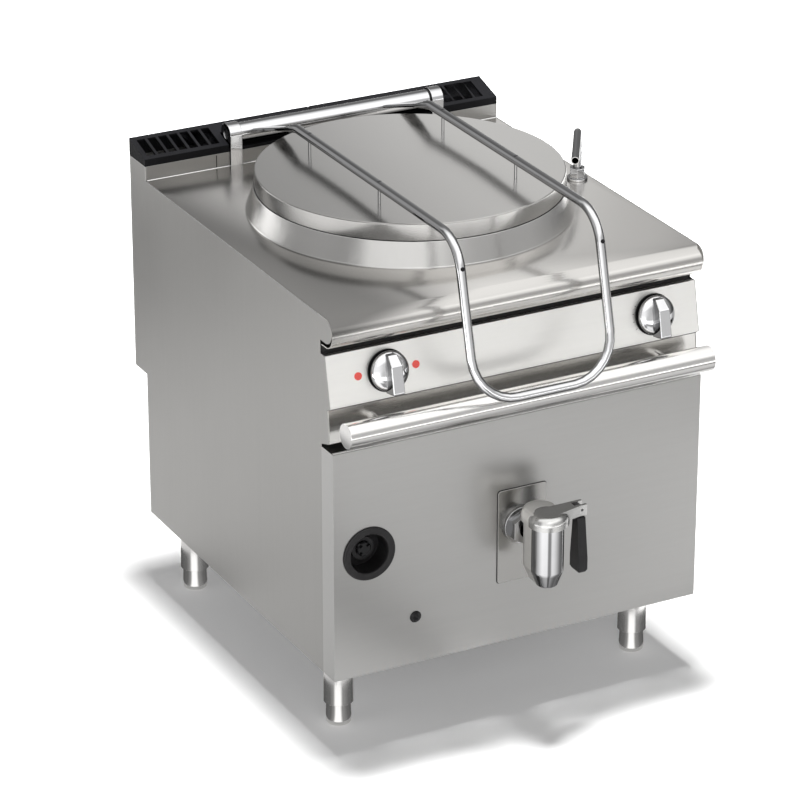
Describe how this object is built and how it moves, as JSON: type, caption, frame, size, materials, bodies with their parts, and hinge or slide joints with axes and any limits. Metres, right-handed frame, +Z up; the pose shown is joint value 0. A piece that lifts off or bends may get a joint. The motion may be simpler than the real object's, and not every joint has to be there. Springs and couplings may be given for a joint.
{
  "type": "gas boiling pan",
  "caption": "Free-standing gas boiling pan: a round pan in a steel cabinet with a hinged sprung lid, a swivel filling spout, push-turn controls and a lever draw-off tap.",
  "frame": {"origin": "on the floor under the centre of the bounding box", "axes": "+X to the right of the user, +Y to the rear wall, +Z up"},
  "size_m": [0.8, 1.046, 1.0347],
  "materials": {
    "brushed_steel": "satin, brushed along each sheet",
    "fine_steel": "fine satin",
    "plain_steel": "plain mill finish",
    "dark_steel": "oiled",
    "polished_chrome": "mirror",
    "black_cast_iron": "black enamel over cast iron",
    "grey_cast_iron": "rough cast",
    "black_plastic": "gloss",
    "brass": "machined",
    "black_rubber": "matt",
    "red_lens": "clear gloss",
    "mineral_wool": "matt"
  },
  "bodies": {
    "cabinet": {"side_panel_left": "brushed_steel", "side_panel_right": "brushed_steel", "rear_panel": "brushed_steel", "base_frame": "plain_steel", "foot_sleeves": "brushed_steel", "foot_tips": "brushed_steel", "front_panel": "brushed_steel", "rail_fascia": "brushed_steel", "handrail": "fine_steel", "rail_brackets": "brushed_steel", "control_panel": "fine_steel", "cross_beams": "plain_steel", "worktop": "brushed_steel", "flue_riser": "brushed_steel", "flue_duct": "plain_steel", "grille_left": "black_cast_iron", "grille_right": "black_cast_iron", "collar": "fine_steel", "pan": "fine_steel", "insulation": "mineral_wool", "chamber": "plain_steel", "burner": "grey_cast_iron", "gas_inlet": "brass", "gas_pipe": "brass", "gas_valve": "brass", "drain_pipe": "brushed_steel", "hinge_post_left": "polished_chrome", "hinge_post_right": "polished_chrome", "hinge_shaft": "dark_steel", "hinge_washer": "black_rubber", "balance_spring": "dark_steel", "spout_base": "polished_chrome", "water_inlet": "brass", "water_valve": "brass", "water_pipe": "brass", "gas_knob_ring": "black_plastic", "water_knob_ring": "black_plastic", "signal_lamps": "red_lens", "igniter_bezel": "black_plastic", "igniter_body": "black_plastic", "sight_plug": "black_plastic", "tap_plate": "brushed_steel", "tap_inlet": "polished_chrome", "tap_body": "polished_chrome", "tap_bonnet": "polished_chrome", "tap_lever_pin": "dark_steel"},
    "lid_group": {"hinge_tube": "polished_chrome", "hinge_bushes": "brass", "lid_frame": "polished_chrome", "lid_studs": "polished_chrome", "lid": "brushed_steel"},
    "spout_arm": {"spout": "polished_chrome"},
    "gas_stem": {"gas_spindle": "dark_steel"},
    "gas_grip": {"gas_knob": "polished_chrome"},
    "water_grip": {"water_knob": "polished_chrome"},
    "igniter_key": {"igniter_button": "black_plastic"},
    "lever": {"tap_lever": "black_plastic"},
    "piston": {"tap_piston": "brass"}
  },
  "joints": [
    {"name": "lid_hinge", "type": "hinge", "parent": "cabinet", "child": "lid_group", "pos_m": [0, 0.465, 0.9615], "axis": [-1, 0, 0], "range_deg": [0, 85]},
    {"name": "spout_swivel", "type": "hinge", "parent": "cabinet", "child": "spout_arm", "pos_m": [0.369, 0.059, 0.92], "axis": [0, 0, 1], "range_deg": [-60, 45]},
    {"name": "gas_turn", "type": "hinge", "parent": "cabinet", "child": "gas_stem", "pos_m": [-0.275, -0.35485, 0.77441], "axis": [0, 0.9792, -0.2028], "range_deg": [0, 180]},
    {"name": "gas_push", "type": "slide", "parent": "gas_stem", "child": "gas_grip", "axis": [0, 0.9792, -0.2028], "range_m": [0, 0.004], "stiffness_N_per_m": 800, "springref_m": -0.006},
    {"name": "water_turn", "type": "hinge", "parent": "cabinet", "child": "water_grip", "pos_m": [0.301, -0.35485, 0.77441], "axis": [0, 0.9792, -0.2028], "range_deg": [0, 270]},
    {"name": "igniter_push", "type": "slide", "parent": "cabinet", "child": "igniter_key", "axis": [0, 1, 0], "range_m": [0, 0.005], "stiffness_N_per_m": 600, "springref_m": -0.004},
    {"name": "tap_lever_swing", "type": "hinge", "parent": "cabinet", "child": "lever", "pos_m": [0.072, -0.477, 0.466], "axis": [0, -1, 0], "range_deg": [0, 85]},
    {"name": "tap_piston_lift", "type": "slide", "parent": "cabinet", "child": "piston", "axis": [0, 0, 1], "range_m": [0, 0.0101]}
  ],
  "couplings": [
    {"joint": "tap_piston_lift", "follows": "tap_lever_swing", "m_per_rad": 0.0067}
  ]
}
